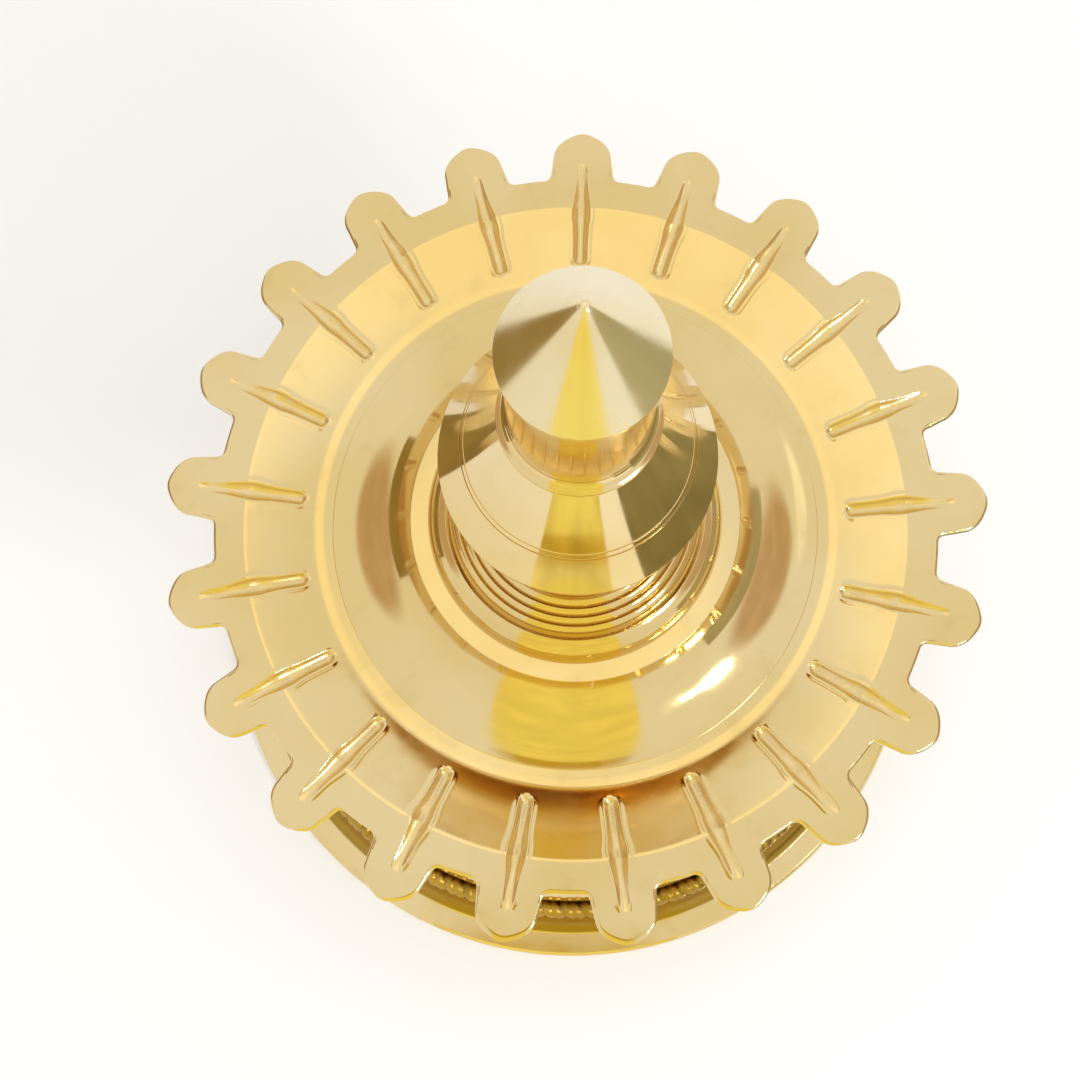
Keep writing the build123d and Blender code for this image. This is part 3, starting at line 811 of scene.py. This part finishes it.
def room_paint(name, colour, mottle=0.25, soft_edge=None):
    """Mottled tone of something in the room, which only the brass mirrors.

    soft_edge is a centre and a radius: the tone fades out towards that radius.
    """
    material = bpy.data.materials.new(name)
    material.use_nodes = True
    n = Nodes(material)
    n.tree.nodes.clear()
    place = n.add("ShaderNodeTexCoord").outputs["Object"]
    shade = tuple((1 - mottle) * c for c in colour)
    tone = n.mix(n.remap(n.noise(place, 5.0, 4.0), 0.35, 0.65), (*colour, 1), (*shade, 1))
    surface = n.add("ShaderNodeEmission", {"Color": tone}).outputs[0]
    if soft_edge:
        centre, reach = soft_edge
        away = n.add("ShaderNodeVectorMath", {0: place, 1: centre}, operation="DISTANCE")
        there = n.remap(away.outputs["Value"], 0.6 * reach, reach, 1.0, 0.0)
        clear = n.add("ShaderNodeBsdfTransparent").outputs[0]
        surface = n.add("ShaderNodeMixShader", {0: there, 1: clear, 2: surface}).outputs[0]
    n.add("ShaderNodeOutputMaterial", {"Surface": surface})
    return material


def mirrored_only(sheet):
    """Hides a sheet from everything but reflections in the brass."""
    sheet.visible_camera = False
    sheet.visible_diffuse = False
    sheet.visible_shadow = False


def around(bearing, distance, height):
    """Place at a bearing in degrees, which run anticlockwise as seen from above.

    0 is the side that the camera stands on, and 90 is to its right.
    """
    angle = radians(bearing) + CAMERA_TURN
    return (distance * sin(angle), -distance * cos(angle), height)


def card(name, bearing, half_angle, distance, low, high, colour, soft=False):
    """Upright panel across a range of bearings."""
    left, right = bearing - half_angle, bearing + half_angle
    corners = [
        around(left, distance, low),
        around(right, distance, low),
        around(right, distance, high),
        around(left, distance, high),
    ]
    middle = around(bearing, distance * cos(radians(half_angle)), (low + high) / 2)
    soft_edge = (middle, distance * sin(radians(half_angle))) if soft else None
    paint = room_paint(f"{name}_paint", colour, mottle=0.12, soft_edge=soft_edge)
    mirrored_only(stage_sheet(name, [corners], paint))


def mat(name, bearing, half_angle, near, far, colour):
    """Part of a ring on the floor, across a range of bearings."""
    height = 1 * MM  # clear of the floor itself
    widest = 5  # degrees to each side of a face's middle
    pieces = ceil(half_angle / widest)
    step = 2 * half_angle / pieces
    faces = []
    for k in range(pieces):
        start = bearing - half_angle + step * k
        end = start + step
        faces.append(
            [
                around(start, near, height),
                around(end, near, height),
                around(end, far, height),
                around(start, far, height),
            ]
        )
    mirrored_only(stage_sheet(name, faces, room_paint(f"{name}_paint", colour)))


def glow(name, centre, reach, colour):
    """Round patch of brighter ceiling with a soft edge."""
    paint = room_paint(f"{name}_paint", colour, mottle=0.06, soft_edge=(centre, reach))
    mirrored_only(stage_sheet(name, [square(centre, reach)], paint))


def light(name, centre, size, power):
    """Soft area light that points at the lamp."""
    lamp = bpy.data.lights.new(name, "AREA")
    lamp.shape = "RECTANGLE"
    lamp.size, lamp.size_y = size
    lamp.energy = power
    piece = bpy.data.objects.new(name, lamp)
    piece.location = centre
    away = Vector(centre) - Vector((0, 0, RIM_HEIGHT))
    piece.rotation_euler = away.to_track_quat("Z", "Y").to_euler()
    bpy.context.scene.collection.objects.link(piece)


def surroundings():
    """Pale light from all round, a little warmer where the brass mirrors it."""
    world = bpy.data.worlds.new("soft_room")
    world.use_nodes = True
    n = Nodes(world)
    n.tree.nodes.clear()
    direction = n.add("ShaderNodeTexCoord").outputs["Generated"]
    up = n.add("ShaderNodeSeparateXYZ", {0: direction}).outputs[2]
    walls = (0.95, 0.92, 0.86, 1)
    ceiling = (0.97, 0.965, 0.95, 1)
    daylight = (1.0, 0.99, 0.97, 1)
    room = n.mix(n.remap(up, 0.0, 0.7), walls, ceiling)
    in_mirror = n.add("ShaderNodeLightPath").outputs["Is Glossy Ray"]
    colour = n.mix(in_mirror, daylight, room)
    light_all_round = n.add("ShaderNodeBackground", {"Color": colour, "Strength": 1.0})
    n.add("ShaderNodeOutputWorld", {"Surface": light_all_round.outputs[0]})
    bpy.context.scene.world = world


def camera():
    """Camera about half a metre above the rim, set a little to the side at bearing 0."""
    stands = Vector((0, -0.578, 3.331))  # in dish radii from the middle of the rim
    looks_at = Vector((-0.081, -0.048, 0))
    roll = radians(-5.9)
    rim = Vector((0, 0, RIM_HEIGHT))
    turn = Matrix.Rotation(CAMERA_TURN, 3, "Z")
    place = rim + DISH_RADIUS * (turn @ stands)
    target = rim + DISH_RADIUS * (turn @ looks_at)
    ahead = (target - place).normalized()
    right = ahead.cross(Vector((0, 0, 1))).normalized()
    up = right.cross(ahead)
    right = cos(roll) * right + sin(roll) * up
    up = right.cross(ahead)
    data = bpy.data.cameras.new("camera")
    data.sensor_width = 36
    data.lens = 46.67
    data.clip_start = 0.01
    piece = bpy.data.objects.new("camera", data)
    facing = Matrix((right, up, -ahead)).transposed().to_4x4()
    piece.matrix_world = Matrix.Translation(place) @ facing
    bpy.context.scene.collection.objects.link(piece)
    bpy.context.scene.camera = piece


floor()
surroundings()
camera()

# The room: what the lamp was photographed in is not known, so these stand in for its tones.
YELLOW_CLOTH = (1.10, 0.96, 0.28)
PALE_YELLOW = (1.12, 1.02, 0.48)
DARK_GOLD = (0.72, 0.50, 0.06)
OLIVE_SHADE = (0.34, 0.29, 0.13)
GREY_OLIVE = (0.50, 0.45, 0.27)
BROWN_SHADE = (0.36, 0.25, 0.08)
TAN_SHADE = (0.68, 0.50, 0.34)
WHITE_WINDOW = (1.30, 1.32, 1.35)
WARM_CEILING = (1.30, 1.22, 0.98)
LAMP_CLEARANCE = 0.24  # the mats start here, outside the base
NEAR_DISTANCE = 0.80
FAR_DISTANCE = 1.3
card("near_card", 0, 25, NEAR_DISTANCE, 0.0, 2.7, YELLOW_CLOTH)
card("near_high_card", 0, 25, NEAR_DISTANCE, 2.7, 4.6, DARK_GOLD)
card("right_card", 84, 28, NEAR_DISTANCE, 0.0, 0.42, GREY_OLIVE)
card("left_card", -100, 23, NEAR_DISTANCE, 0.0, 0.42, BROWN_SHADE)
card("right_far_card", 88, 30, FAR_DISTANCE, 0.15, 1.75, TAN_SHADE, soft=True)
card("left_far_card", -94, 30, FAR_DISTANCE, 0.15, 1.75, TAN_SHADE, soft=True)
card("right_window_card", 114, 18, FAR_DISTANCE, 1.45, 2.5, WHITE_WINDOW, soft=True)
mat("near_mat", 0, 21, LAMP_CLEARANCE, 0.60, YELLOW_CLOTH)
mat("near_fold", 0, 21, 0.60, 0.68, DARK_GOLD)
mat("near_far_mat", 0, 21, 0.68, NEAR_DISTANCE, PALE_YELLOW)
mat("right_mat", 78, 40, LAMP_CLEARANCE, NEAR_DISTANCE, OLIVE_SHADE)
mat("left_mat", -106, 14, LAMP_CLEARANCE, NEAR_DISTANCE, BROWN_SHADE)
glow("warm_ceiling", (-0.03, 0.05, 1.0), 0.20, WARM_CEILING)
light("window", (0.95, -0.85, 1.3), (0.22, 0.22), 5)
light("small_window", (0.78, -1.0, 1.3), (0.1, 0.1), 1.5)

scene = bpy.context.scene
scene.view_settings.view_transform = "Standard"
scene.cycles.glossy_bounces = 10  # brass seen in brass seen in brass stays gold, not black
scene.cycles.max_bounces = 14
